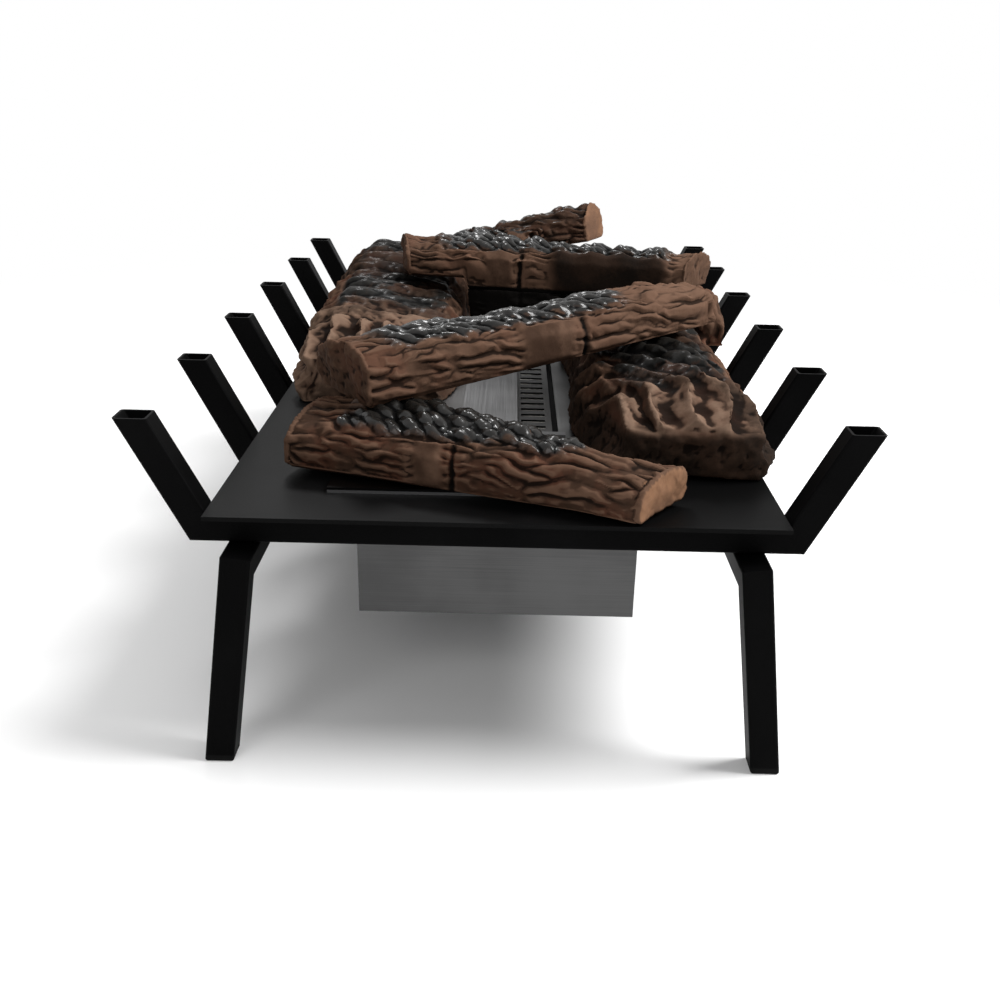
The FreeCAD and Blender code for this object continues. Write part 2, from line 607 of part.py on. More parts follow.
def back_log(left, right):
    """Forked log laid across both base logs: a stem, a limb that rises behind it and a stub under it."""
    log = cut_log(BACK_LOG_LENGTH, BACK_LOG_WIDTH, BACK_LOG_HEIGHT,
                  lumpy(BACK_LOG_STATION_SHARES, BACK_LOG_LUMPS))
    limb = cut_log(BACK_LIMB_LENGTH, BACK_LIMB_WIDTH, BACK_LIMB_HEIGHT,
                   lumpy(BACK_LIMB_STATION_SHARES, BACK_LIMB_LUMPS))
    root = Vector(0, BACK_LOG_WIDTH * BACK_LIMB_ROOT_SHARE, 0)
    fork_deg = BACK_LIMB_TURN_DEG - BACK_LOG_TURN_DEG
    stub = cut_log(BACK_STUB_LENGTH, BACK_STUB_WIDTH, BACK_STUB_DROP + BACK_STUB_ROOT,
                   BACK_STUB_STATION_SHARES)
    stub = stub.translated(Vector(BACK_STUB_ALONG, BACK_STUB_SETBACK, -BACK_STUB_DROP))
    log = log.fuse([turned(limb, root, fork_deg, BACK_LIMB_RISE_DEG), stub]).removeSplitter()
    return laid_across(log, BACK_LOG_INSET, BACK_LOG_SETBACK, BACK_LOG_TURN_DEG, left, right)


def save(name, shape):
    solid = shape.Solids[0] if len(shape.Solids) == 1 else shape
    solid.exportStep("parts/" + name + ".step")
    print(name, "solids", len(shape.Solids), "valid", shape.isValid(), "volume", round(shape.Volume))


os.makedirs("parts", exist_ok=True)

save("top_plate", top_plate())
for number, bar_place in enumerate(bar_places(), start=1):
    right_prong = prong(bar_place)
    save("prong_right_" + str(number), right_prong)
    save("prong_left_" + str(number), mirrored(right_prong))
    if number in (1, BAR_COUNT):
        save("crossbar_" + str(number), crossbar(bar_place))
    else:
        right_arm = arm(bar_place, CASING_WIDTH / 2 + SIDE_ARM_GAP)
        save("side_arm_right_" + str(number), right_arm)
        save("side_arm_left_" + str(number), mirrored(right_arm))

right_rail = rail()
save("rail_right", right_rail)
save("rail_left", mirrored(right_rail))
for end_name, frame_end in (("near", -1), ("far", 1)):
    right_leg = leg(frame_end)
    right_cap = foot_cap(frame_end)
    save("leg_right_" + end_name, right_leg)
    save("leg_left_" + end_name, mirrored(right_leg))
    save("foot_cap_right_" + end_name, right_cap)
    save("foot_cap_left_" + end_name, mirrored(right_cap))
    save("lid_guide_" + end_name, lid_guide(frame_end))

save("burner_deck", burner_deck())
save("burner_casing", burner_casing())
save("fuel_tank", fuel_tank())
save("fuel_wool", fuel_wool())
save("mouth_ledge", mouth_ledge())
save("flame_grille", flame_grille())
save("snuffer_lid", snuffer_lid())

log_right = right_log()
log_left = left_log()
log_front = front_log()
save("log_right", log_right)
save("log_left", log_left)
save("log_front", log_front)
save("log_middle", middle_log(log_front, log_right))
save("log_back", back_log(log_left, log_right))
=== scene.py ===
# %% [markdown]
# # A bioethanol fire grate, dressed in Blender
# The real object is a welded frame of black square tube, a drop-in steel burner and five loose ceramic
# logs. The frame and the burner have hard, simple shapes, so they stay as the CAD made them and only get a
# finish here. The logs are castings with bark and char all over, so their plain solids are carved here.

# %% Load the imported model
import json
import math

import bmesh
import bpy
from mathutils import Matrix, Vector


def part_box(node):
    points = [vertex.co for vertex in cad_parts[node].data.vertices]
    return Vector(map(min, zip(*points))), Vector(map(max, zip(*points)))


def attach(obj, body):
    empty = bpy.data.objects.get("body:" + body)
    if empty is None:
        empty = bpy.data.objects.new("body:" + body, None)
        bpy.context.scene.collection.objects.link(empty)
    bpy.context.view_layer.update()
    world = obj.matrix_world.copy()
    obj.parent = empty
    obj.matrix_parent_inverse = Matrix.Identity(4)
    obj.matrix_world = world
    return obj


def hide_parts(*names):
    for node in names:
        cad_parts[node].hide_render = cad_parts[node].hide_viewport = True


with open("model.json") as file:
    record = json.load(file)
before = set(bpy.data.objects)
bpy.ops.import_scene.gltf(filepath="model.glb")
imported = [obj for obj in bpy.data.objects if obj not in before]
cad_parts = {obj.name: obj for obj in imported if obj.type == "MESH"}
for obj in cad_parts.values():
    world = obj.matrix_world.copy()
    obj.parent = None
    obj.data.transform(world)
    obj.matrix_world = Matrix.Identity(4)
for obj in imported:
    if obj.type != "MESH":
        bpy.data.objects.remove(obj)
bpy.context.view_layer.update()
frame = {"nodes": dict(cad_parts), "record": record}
MM = 0.001
ALONG_X, ALONG_Y, UP = (1.0, 0.0, 0.0), (0.0, 1.0, 0.0), (0.0, 0.0, 1.0)

# %% [markdown]
# ## Writing node trees as sums
# A shader or a Geometry Nodes tree is easier to read as a formula than as a list of links. A Wire holds one
# output socket and turns Python's operators into Math nodes. A Graph adds every other node with one method:
# its type, its settings, and what its sockets hold. The same two classes serve both kinds of tree, and a
# Finish is a graph that belongs to a new material.


# %% Wires
class Wire:
    """An output socket that can be used in sums."""

    def __init__(self, graph, socket):
        self.graph = graph
        self.socket = socket

    def __add__(self, other):
        return self.graph.sum("ADD", self, other)

    def __sub__(self, other):
        return self.graph.sum("SUBTRACT", self, other)

    def __rsub__(self, other):
        return self.graph.sum("SUBTRACT", other, self)

    def __mul__(self, other):
        return self.graph.sum("MULTIPLY", self, other)

    def __truediv__(self, other):
        return self.graph.sum("DIVIDE", self, other)

    __radd__ = __add__
    __rmul__ = __mul__


# %% Graphs
class Graph:
    """A node tree that is filled by method calls."""

    def __init__(self, tree):
        self.tree = tree

    def node(self, kind, settings=None, sockets=None):
        """A new node of this kind, with its settings first, then its sockets."""
        node = self.tree.nodes.new(kind)
        for name, value in (settings or {}).items():
            setattr(node, name, value)
        for key, value in (sockets or {}).items():
            self.feed(node.inputs[key], value)
        return node

    def add(self, kind, settings=None, sockets=None, out=0):
        """One output of such a node, as a wire."""
        return Wire(self, self.node(kind, settings, sockets).outputs[out])

    def feed(self, socket, value):
        """Links a wire to a socket, or sets a plain value on it."""
        if isinstance(value, Wire):
            self.tree.links.new(value.socket, socket)
        else:
            socket.default_value = value

    def sum(self, operation, first, second):
        return self.add("ShaderNodeMath", {"operation": operation}, {0: first, 1: second})

    def absolute(self, value):
        return self.add("ShaderNodeMath", {"operation": "ABSOLUTE"}, {0: value})

    def either(self, first, *others):
        """The largest of some masks."""
        for other in others:
            first = self.sum("MAXIMUM", first, other)
        return first

    def step(self, value, low, high):
        """0 below low, 1 above high, and a smooth rise between them."""
        return self.add("ShaderNodeMapRange", {"interpolation_type": "SMOOTHSTEP"},
                        {"Value": value, "From Min": low, "From Max": high})

    def within(self, value, low, high, soft):
        """1 between two places, fading to 0 just inside each."""
        return self.step(value, low, low + soft) * (1 - self.step(value, high - soft, high))

    def vector(self, operation, first, second, out=0):
        return self.add("ShaderNodeVectorMath", {"operation": operation}, {0: first, 1: second}, out)

    def dot(self, first, second):
        return self.vector("DOT_PRODUCT", first, second, "Value")

    def length(self, vector):
        return self.add("ShaderNodeVectorMath", {"operation": "LENGTH"}, {0: vector}, "Value")

    def join(self, x, y, z):
        return self.add("ShaderNodeCombineXYZ", None, {0: x, 1: y, 2: z})

    def noise(self, place, scale, detail=3.0, rough=0.55, out=0):
        return self.add("ShaderNodeTexNoise", None,
                        {"Vector": place, "Scale": scale, "Detail": detail, "Roughness": rough}, out)

    def cells(self, place, feature="DISTANCE_TO_EDGE", random=1.0):
        return self.add("ShaderNodeTexVoronoi", {"feature": feature},
                        {"Vector": place, "Scale": 1.0, "Randomness": random}, "Distance")

    def colours(self, share, first, second):
        """Two colours mixed by a share."""
        return self.add("ShaderNodeMix", {"data_type": "RGBA"}, {0: share, 6: first, 7: second}, 2)

    def bump(self, height, strength, distance):
        return self.add("ShaderNodeBump", None,
                        {"Strength": strength, "Distance": distance, "Height": height})


# %% Finishes
class Finish(Graph):
    """The graph of a new material, with its main shader and a point's place on the piece."""

    def __init__(self, name):
        self.material = bpy.data.materials.new(name)
        self.material.use_nodes = True
        super().__init__(self.material.node_tree)
        self.shader = self.tree.nodes["Principled BSDF"]
        self.place = self.add("ShaderNodeTexCoord", out="Object")

    def give(self, looks):
        """Feeds the main shader's sockets by name, and hands over the material."""
        for name, value in looks.items():
            self.feed(self.shader.inputs[name], value)
        return self.material


def grey(value):
    return (value, value, value, 1.0)


print("helpers", Wire.__name__, Graph.__name__, Finish.__name__)

# %% [markdown]
# ## Powder coat
# The frame is sprayed with black powder and baked. Powder coat is not a mirror: it has a fine orange peel, a
# soft sheen, and here and there a little dust. A tiny bump gives the peel, and slow noise moves the
# roughness, so the plate doesn't shine evenly. The legs stand in moulded caps, matt black with a fine grain.

# %% Powder coat and foot caps
COAT_BLACK = (0.001, 0.001, 0.00105, 1.0)
COAT_WORN = (0.003, 0.003, 0.0031, 1.0)
CAP_BLACK, CAP_GREY = grey(0.002), grey(0.005)
PLATE_SHEEN = 0.052
TUBE_SHEEN = 0.025
CAP_SHEEN = 0.06
PEEL_SCALE = 900.0
CLOUD_SCALE = 9.0
CLOUD_SHOWS = (0.4, 0.75)
CAP_GRAIN_SCALE = 1400.0


def powder_coat(name, sheen):
    """Black powder coat: a wide plate shows more sheen than a tube."""
    finish = Finish(name)
    cloud = finish.noise(finish.place, CLOUD_SCALE, detail=4.0)
    peel = finish.noise(finish.place, PEEL_SCALE, detail=2.0)
    return finish.give({
        "Base Color": finish.colours(finish.step(cloud, *CLOUD_SHOWS), COAT_BLACK, COAT_WORN),
        "Roughness": 0.4 + 0.14 * cloud,
        "Normal": finish.bump(peel, strength=0.12, distance=0.4 * MM),
        "Specular IOR Level": sheen})


def foot_plastic():
    finish = Finish("foot_cap_plastic")
    grain = finish.noise(finish.place, CAP_GRAIN_SCALE, detail=2.0)
    return finish.give({
        "Base Color": finish.colours(grain, CAP_BLACK, CAP_GREY),
        "Roughness": 0.6 + 0.15 * grain,
        "Normal": finish.bump(grain, strength=0.2, distance=0.3 * MM),
        "Specular IOR Level": CAP_SHEEN})


plate_coat = powder_coat("black_powder_coat_plate", PLATE_SHEEN)
tube_coat = powder_coat("black_powder_coat_tube", TUBE_SHEEN)
cap_plastic = foot_plastic()
print("finishes", plate_coat.name, tube_coat.name, cap_plastic.name)

# %% [markdown]
# ## Brushed steel
# The burner is folded from brushed stainless sheet. Brushing leaves long fine scratches in one direction, so
# a noise that is stretched along the grain sets the roughness, the shade and a faint bump. The lid is
# brushed along its length and the casing across. Heat dulls the steel in slow patches.

# %% Brushed steel
STEEL_PALE = (0.2, 0.2, 0.203, 1.0)
STEEL_DULL = (0.115, 0.115, 0.117, 1.0)
CASING_PALE, CASING_DULL = grey(0.082), grey(0.056)
GRAIN_FINE = 1500.0
GRAIN_LONG = 14.0
ALONG_GRATE = (GRAIN_FINE, GRAIN_LONG, GRAIN_FINE)
ACROSS_GRATE = (GRAIN_LONG, GRAIN_FINE, GRAIN_FINE)
PATCH_SCALE = 11.0
SHADE_TURNS = (0.35, 0.65)


def brushed_steel(name, grain, pale=STEEL_PALE, dull=STEEL_DULL, painted_shade=None):
    """Grain is the scale of the scratches along X, Y and Z: long where it is small. Painted shade, if any, is
    a function that paints over the steel."""
    finish = Finish(name)
    scratches = finish.noise(finish.vector("MULTIPLY", finish.place, grain), 1.0, rough=0.6)
    patches = finish.noise(finish.place, PATCH_SCALE)
    shade = finish.step(0.65 * patches + 0.35 * scratches, *SHADE_TURNS)
    steel = finish.colours(shade, dull, pale)
    if painted_shade:
        steel = painted_shade(finish, steel, patches)
    return finish.give({
        "Base Color": steel,
        "Roughness": 0.26 + 0.2 * scratches,
        "Normal": finish.bump(scratches, strength=0.15, distance=0.2 * MM),
        "Metallic": 1.0})


lid_steel = brushed_steel("brushed_steel_deck", ALONG_GRATE)
casing_steel = brushed_steel("brushed_steel_casing", ACROSS_GRATE, CASING_PALE, CASING_DULL)
print("finishes", lid_steel.name, casing_steel.name)

# %% [markdown]
# ## Painted shade on the burner
# The burner is painted black where the logs shade it: on the deck under the front and the rear log and
# beside the right one, on the walls of the grille's slots, and on the ledge round the mouth. This black is
# painted shade and shadow. The lower half of the deck's near rim is painted a plain pale steel, lighter than
# the deck, as a painted highlight line. On the deck and the grille, the painted shade is a second colour over
# the steel. The ledge is black all over, so it has a finish of its own, black and grainy, with no metal in
# it.

# %% Painted shade on the deck and the grille
# Black for painted shade and shadow on the deck and on the walls of the grille's slots.
PAINTED_SHADE_BLACK = (0.008, 0.008, 0.0082, 1.0)
# Plain pale steel for the lower half of the near rim: a painted highlight line.
RIM_HIGHLIGHT_STEEL = STEEL_PALE
DECK_PALE, DECK_DULL = grey(0.15), grey(0.085)
GRILLE_PALE, GRILLE_DULL = (0.045, 0.044, 0.043, 1.0), grey(0.02)
deck_low, deck_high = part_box("burner_deck")
RIM_ENDS = (deck_low.y + 3 * MM, deck_low.y + 6 * MM)
RIM_TURNS = (deck_high.z - 2.2 * MM, deck_high.z - 1.6 * MM)
FRONT_SHADE_ENDS = (deck_low.y + 60 * MM, deck_low.y + 110 * MM)
REAR_SHADE_STARTS = (0.0, 100 * MM)
REAR_SHADE_ENDS = (200 * MM, 290 * MM)
SIDE_SHADE_STARTS = (44 * MM, 72 * MM)
SIDE_SHADE_COVERS = 0.9
SHADE_WANDERS = 30 * MM
WALL_ENDS = (0.4, 0.8)


def deck_painted_shade(finish, steel, patches):
    """Painted shade and shadow under and beside the logs. Its edge wanders with the patches of the steel."""
    lengthways = finish.dot(finish.place, ALONG_Y) + SHADE_WANDERS * (patches - 0.5)
    upper_rim = finish.step(finish.dot(finish.place, UP), *RIM_TURNS)
    inside_rim = finish.either(finish.step(lengthways, *RIM_ENDS), upper_rim)
    front = inside_rim * (1 - finish.step(lengthways, *FRONT_SHADE_ENDS))
    rear = finish.step(lengthways, *REAR_SHADE_STARTS) * (1 - finish.step(lengthways, *REAR_SHADE_ENDS))
    beside = inside_rim * finish.step(finish.dot(finish.place, ALONG_X), *SIDE_SHADE_STARTS)
    # The deck is painted black under and beside the logs: painted shade and shadow.
    painted_shade = finish.either(front, rear, SIDE_SHADE_COVERS * beside)
    # The lower part of the near rim keeps plain pale steel as a painted highlight; elsewhere painted shade
    # covers the steel.
    return finish.colours(inside_rim, RIM_HIGHLIGHT_STEEL, finish.colours(painted_shade, steel, PAINTED_SHADE_BLACK))


def slot_painted_shade(finish, steel, patches):
    """Painted shade on the faces that don't look up, which are the walls of the slots."""
    facing_up = finish.dot(finish.add("ShaderNodeNewGeometry", out="Normal"), UP)
    return finish.colours(finish.step(facing_up, *WALL_ENDS), PAINTED_SHADE_BLACK, steel)


deck_steel = brushed_steel("brushed_steel_sooty_deck", ALONG_GRATE, DECK_PALE, DECK_DULL, deck_painted_shade)
grille_steel = brushed_steel("heat_stained_steel", ALONG_GRATE, GRILLE_PALE, GRILLE_DULL, slot_painted_shade)
print("finishes", deck_steel.name, grille_steel.name)

# %% Painted shade on the ledge
LEDGE_SHADE_BLACK, LEDGE_SHADE_GREY = grey(0.0015), grey(0.006)
LEDGE_GRAIN_SCALE = 420.0
LEDGE_SHEEN = 0.08
MATT = 0.95


# The ledge is painted black and grainy all over: painted shade in the gap round the grille.
def soot_crust():
    finish = Finish("soot_crust")
    grains = finish.noise(finish.place, LEDGE_GRAIN_SCALE, detail=4.0, rough=0.6)
    return finish.give({
        "Base Color": finish.colours(grains, LEDGE_SHADE_BLACK, LEDGE_SHADE_GREY),
        "Normal": finish.bump(grains, strength=0.4, distance=0.5 * MM),
        "Roughness": MATT,
        "Specular IOR Level": LEDGE_SHEEN})


ledge_shade = soot_crust()
print("finish", ledge_shade.name)

# %% [markdown]
# ## Ceramic wool
# A block of off-white ceramic wool in the tank holds the fuel. It is all fibre, so a noise that is stretched
# one way sets its colour and a strong bump.

# %% Ceramic wool
WOOL_FIBRE = (300.0, 120.0, 300.0)
WOOL_SHADED = (0.5, 0.47, 0.4, 1.0)
WOOL_WHITE = (0.85, 0.83, 0.78, 1.0)


def ceramic_wool():
    finish = Finish("ceramic_wool")
    fibre = finish.noise(finish.vector("MULTIPLY", finish.place, WOOL_FIBRE), 1.0, detail=5.0, rough=0.7)
    return finish.give({
        "Base Color": finish.colours(fibre, WOOL_SHADED, WOOL_WHITE),
        "Normal": finish.bump(fibre, strength=0.7, distance=2 * MM),
        "Roughness": MATT})


wool_white = ceramic_wool()
print("finish", wool_white.name)

# %% [markdown]
# ## Dressing the CAD pieces
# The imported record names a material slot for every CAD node. Most nodes get their finish by that slot, and
# the few that differ from their neighbours get it by name. Only the material changes: the CAD shape stays.

# %% Give the CAD pieces their finish
by_slot = {"black_coat": tube_coat, "foot_plastic": cap_plastic, "burner_steel": lid_steel,
           "ceramic_wool": wool_white}
by_name = {"top_plate": plate_coat, "burner_deck": deck_steel, "burner_casing": casing_steel,
           "fuel_tank": casing_steel, "flame_grille": grille_steel, "mouth_ledge": ledge_shade}
node_slots = {part["node"]: part["material_slot"] for part in frame["record"]["subparts"]}
dressed = 0
for node_name, node in frame["nodes"].items():
    worn_finish = by_name.get(node_name) or by_slot.get(node_slots[node_name])
    if worn_finish is not None:
        node.data.materials.clear()
        node.data.materials.append(worn_finish)
        dressed += 1
print("CAD pieces with a finish", dressed)

# %% [markdown]
# ## Painted ceramic
# Each log is cast in one piece and then painted: brown bark with dark grooves and dry-brushed ridges, grey
# glossy char on top, a tan face where a log is sawn. The carving below leaves attributes on the mesh that
# say where each of these lies, so paint and shape always agree. The paint goes on in layers: bark, umber
# faces that are partly painted shade, the band, grooves, sawn faces, char, and scorched marks last, which
# also lay a painted shadow on the rear log's front and painted shade on its stub.

# %% Colours of the logs
GROOVE_BROWN = (0.004, 0.0028, 0.0023, 1.0)
BARK_BROWN = (0.044, 0.0247, 0.0163, 1.0)
RIDGE_BROWN = (0.112, 0.064, 0.0425, 1.0)
RUST_BROWN = (0.067, 0.0295, 0.0185, 1.0)
UMBER_BROWN = (0.0125, 0.009, 0.007, 1.0)
BAND_BROWN = (0.115, 0.067, 0.045, 1.0)
KNUCKLE_TAN = (0.152, 0.098, 0.069, 1.0)
SAWN_TAN = (0.21, 0.112, 0.064, 1.0)
CHAR_BLACK = (0.0022, 0.0021, 0.002, 1.0)
CHAR_GREY = (0.0088, 0.0081, 0.0072, 1.0)
# Black of the scorched marks, and of the painted shadow and shade on the rear log.
SCORCH_AND_SHADE_BLACK = (0.0034, 0.0029, 0.0026, 1.0)
print("bark", BARK_BROWN, "char", CHAR_GREY)

# %% Log paint
LEFT_BY_CARVING = ("crack", "pit", "char", "sawn", "shade", "band", "knuckle", "mark", "pale", "dull")
BLOTCH_SCALE = 30.0
SPECKLE_SCALE = 260.0
GROOVE_FILLS, GROOVE_COVERS = (0.0, 0.65), 0.85
RIDGE_SHOWS, RIDGE_COVERS = (0.02, 0.6), 0.8
RUST_SHOWS = (0.42, 0.62)
KNUCKLE_WEARS = (0.3, 1.1)
UMBER_WEARS, WEAR_COVERS = (0.46, 0.86), 0.8
BAND_SHOWS = (0.35, 0.65)
SAWN_WEARS = (0.45, 0.9)
LUMP_SHOWS = (0.0, 0.7)
GLOSS_ENDS = (-0.1, 0.5)
CHAR_GLOSS = 0.5
CHAR_GLAZE = 0.22
CERAMIC_SHEEN = 0.02


def log_paint():
    finish = Finish("log_ceramic")
    crack, pit, char, sawn, shade, band, knuckle, mark, pale, dull = (
        finish.add("ShaderNodeAttribute", {"attribute_name": name}, out="Fac") for name in LEFT_BY_CARVING)
    blotch = finish.noise(finish.place, BLOTCH_SCALE, detail=4.0)
    speckle = finish.noise(finish.place, SPECKLE_SCALE, detail=4.0, rough=0.65)
    spotted = blotch + 0.3 * speckle
    groove = finish.step(crack + (0.4 + 0.15 * knuckle) * pit + 0.3 * (speckle - 0.5), *GROOVE_FILLS)
    ridge = finish.step(0.3 * (speckle - 0.5) - crack, *RIDGE_SHOWS)
    worn = finish.step(blotch + 0.4 * speckle - 0.3 * pit - 0.2 * crack, *KNUCKLE_WEARS)
    lump_top = finish.step(0.4 * speckle - crack - 0.3 * pit, *LUMP_SHOWS)

    paint = finish.colours(finish.step(blotch, *RUST_SHOWS), BARK_BROWN, RUST_BROWN)
    paint = finish.colours(finish.either(RIDGE_COVERS * ridge, pale), paint, RIDGE_BROWN)
    paint = finish.colours(knuckle * worn, paint, KNUCKLE_TAN)
    # Umber where the carving stores shade: painted shade on undersides, and partly on low faces and ends; a
    # painted shadow on the rear log's front; a darker tone on bare patches and the limb.
    umber_and_shade_face = finish.colours(WEAR_COVERS * finish.step(spotted, *UMBER_WEARS), UMBER_BROWN, BARK_BROWN)
    paint = finish.colours(shade, paint, umber_and_shade_face)
    band_face = finish.colours(finish.step(blotch, *BAND_SHOWS), BARK_BROWN, BAND_BROWN)
    paint = finish.colours(band, paint, band_face)
    paint = finish.colours(GROOVE_COVERS * groove, paint, GROOVE_BROWN)
    sawn_face = finish.colours(finish.step(spotted, *SAWN_WEARS), SAWN_TAN, RIDGE_BROWN)
    paint = finish.colours(sawn, paint, sawn_face)
    paint = finish.colours(char, paint, finish.colours(lump_top, CHAR_BLACK, CHAR_GREY))
    # Scorched marks, and the painted shadow on the rear log's front and the painted shade on its stub.
    paint = finish.colours(mark, paint, SCORCH_AND_SHADE_BLACK)
    return finish.give({
        "Base Color": paint,
        "Roughness": 0.62 + 0.25 * speckle - 0.2 * char,
        "Coat Weight": CHAR_GLOSS * char * (1 - dull) * (1 - finish.step(crack + 0.4 * pit, *GLOSS_ENDS)),
        "Normal": finish.bump(speckle, strength=0.4, distance=0.9 * MM),
        "Coat Roughness": CHAR_GLAZE,
        "Specular IOR Level": CERAMIC_SHEEN})


LOG_PAINT = log_paint()
print("nodes in the paint", len(LOG_PAINT.node_tree.nodes))

# %% [markdown]
# ## Carving the logs
# A log's bark follows a rule: plates that are long along the log, with grooves between them, and char that
# has cracked into glossy lumps on top. That is a job for Geometry Nodes. The tree measures every point along,
# across and above its log, draws cells in those three measures, and moves the surface. Grooves go in by a
# few millimetres, and the whole comes out again a little, because smoothing the facets shrinks a log. What
# each log has of its own, such as its band, its saw cut and its char, is an input of the tree.

# %% The carving tree and its inputs
VECTOR_INPUTS = (
    "Start", "Along", "Side", "Bark Cell", "Char Cell", "Plain Way", "Other Plain Way", "Sawn Way")
NUMBER_INPUTS = (
    "Length", "Width", "Height", "Bark Depth", "Bark Slant", "Char Depth", "Char Slant", "Char From",
    "Char To", "Char Edge", "Char Far Edge", "Char Lowest", "Char Facing", "Char Rise", "Band From",
    "Band To", "Mark At", "Mark Width", "Dark From", "Dark To", "Smooth Below", "Knuckles To",
    "Sawn Behind", "Sawn Beyond", "Sawn Across", "Stub Shade Below", "Sag", "Limb Above", "Limb Behind",
    "Patches", "Rough", "Pale", "Dull", "Swell", "Proud", "Seed")
carving = Graph(bpy.data.node_groups.new("log_carving", "GeometryNodeTree"))


def open_sockets(way, kind, names):
    for name in names:
        carving.tree.interface.new_socket(name, in_out=way, socket_type=kind)


open_sockets("INPUT", "NodeSocketGeometry", ["Geometry"])
open_sockets("INPUT", "NodeSocketVector", VECTOR_INPUTS)
open_sockets("INPUT", "NodeSocketFloat", NUMBER_INPUTS)
open_sockets("INPUT", "NodeSocketMaterial", ["Paint"])
open_sockets("OUTPUT", "NodeSocketGeometry", ["Geometry"])
entry = carving.node("NodeGroupInput")
given = {socket.name: Wire(carving, socket) for socket in entry.outputs if socket.name}
print("carving inputs", len(given))

# %% [markdown]
# ### Measuring a point
# Shares run from 0 to 1 along, across and above a log, so one rule fits logs of any size. Noises of several
# sizes make edges ragged and lumps uneven, and each log's seed moves them, so that no two logs are alike. On
# the forked log, the limb is what lies behind the stem or above it.

# %% Measure a point on its log
EDGE_SOFT = 0.05
LIMB_SOFT = 3 * MM
SLOW_SCALE, SWING_SCALE, WANDER_SCALE, TREMOR_SCALE = 13.0, 28.0, 34.0, 150.0
RAGGED_BY = 0.22
HALF = (0.5, 0.5, 0.5)
normal = carving.add("GeometryNodeInputNormal")
offset = carving.vector("SUBTRACT", carving.add("GeometryNodeInputPosition"), given["Start"])
along = carving.dot(offset, given["Along"])
across = carving.dot(offset, given["Side"])
above = carving.dot(offset, UP)
along_share = along / given["Length"]
across_share = across / given["Width"]
above_share = above / given["Height"]
facing_up = carving.dot(normal, UP)
facing_front = 0 - carving.dot(normal, given["Side"])

seeds = carving.join(given["Seed"], given["Seed"], given["Seed"])
shifted = carving.vector("ADD", offset, seeds)
slow = carving.noise(shifted, SLOW_SCALE, detail=2.0)
swing = carving.vector("SUBTRACT", carving.noise(shifted, SWING_SCALE, detail=2.0, out=1), HALF)
wander = carving.noise(shifted, WANDER_SCALE)
tremor = carving.noise(shifted, TREMOR_SCALE)
ragged = RAGGED_BY * (wander - 0.5)
limb = carving.either(carving.step(above, given["Limb Above"], given["Limb Above"] + LIMB_SOFT),
                      carving.step(across_share, given["Limb Behind"], given["Limb Behind"] + EDGE_SOFT))
print("nodes that measure", len(carving.tree.nodes))

# %% [markdown]
# ### Bark plates and lumps of char
# A Voronoi texture splits space into cells. The distance to a cell's edge makes bark: flat plates with
# grooves between them. The distance to a cell's middle makes char: a round lump in each cell. The cells are
# stretched along the log, lean over, and sway, as bark does.

# %% Heights of bark and char
SEED_SPREAD = (91.0, 37.0, 53.0)
BARK_SWAY, CHAR_SWAY = 1.8, 0.7
GROOVE_WIDTH = 0.34
STRAND_CELL = (0.8, 0.4, 0.4)
LUMP_RANDOM = 0.7


def cell_place(size, slant, sway):
    """A point's place counted in cells, leaning along the log, and swaying a little."""
    leaning = along + slant * (across + above) * (1 - limb)
    cell = carving.vector("DIVIDE", carving.join(leaning, across, above), size)
    moved = carving.vector("ADD", cell, carving.vector("MULTIPLY", swing, (sway, sway, sway)))
    return carving.vector("ADD", moved, carving.vector("MULTIPLY", seeds, SEED_SPREAD))


edge_off = carving.cells(cell_place(given["Bark Cell"], given["Bark Slant"], BARK_SWAY))
plate = carving.step(edge_off, 0.0, GROOVE_WIDTH)
strand_cell = carving.vector("MULTIPLY", given["Bark Cell"], STRAND_CELL)
strand = carving.noise(cell_place(strand_cell, given["Bark Slant"], BARK_SWAY), 1.0, detail=2.0)
bark_height = plate * (0.45 + 0.35 * strand + 0.2 * tremor) + 0.12 * strand
middle_off = carving.cells(cell_place(given["Char Cell"], given["Char Slant"], CHAR_SWAY), "F1", LUMP_RANDOM)
char_height = 1.05 - 1.5 * middle_off * middle_off + 0.35 * (tremor - 0.5)
print("nodes with bark and char", len(carving.tree.nodes))

# %% [markdown]
# ### Saw cuts and char
# A sawn end is a face that looks the saw's way. The limb of the forked log is sawn off at a slant, and the
# points beyond that cut are later pulled back onto it. Char lies on top, between two places along the log and
# two across it, and not on a sawn face, on the limb's front, or in the bare patches of the big logs.

# %% Where saw cuts and char lie
SAW_SLOPE = 1.9
CUT_SHOWS = 1 * MM
FACES_SAW = (0.72, 0.86)
FACES_LIMB_FRONT = (0.2, 0.5)
PATCH_SHOWS = (0.5, 0.6)
TURNS_BEFORE, TURNS_AFTER = 0.2, 0.15
beyond = carving.dot(offset, given["Sawn Way"]) - given["Sawn Beyond"]
behind = carving.step(across_share, given["Sawn Behind"], given["Sawn Behind"] + EDGE_SOFT)
cut_off = carving.either(given["Sawn Across"] + SAW_SLOPE * beyond - across, 0.0) * behind
faces_saw = carving.step(carving.dot(normal, given["Sawn Way"]), *FACES_SAW)
sawn = carving.either(faces_saw * behind, carving.step(cut_off, 0.0, CUT_SHOWS))
limb_front = limb * carving.step(facing_front + 0.4 * ragged, *FACES_LIMB_FRONT)
bare = given["Patches"] * carving.step(slow + 0.3 * (tremor - 0.5), *PATCH_SHOWS)

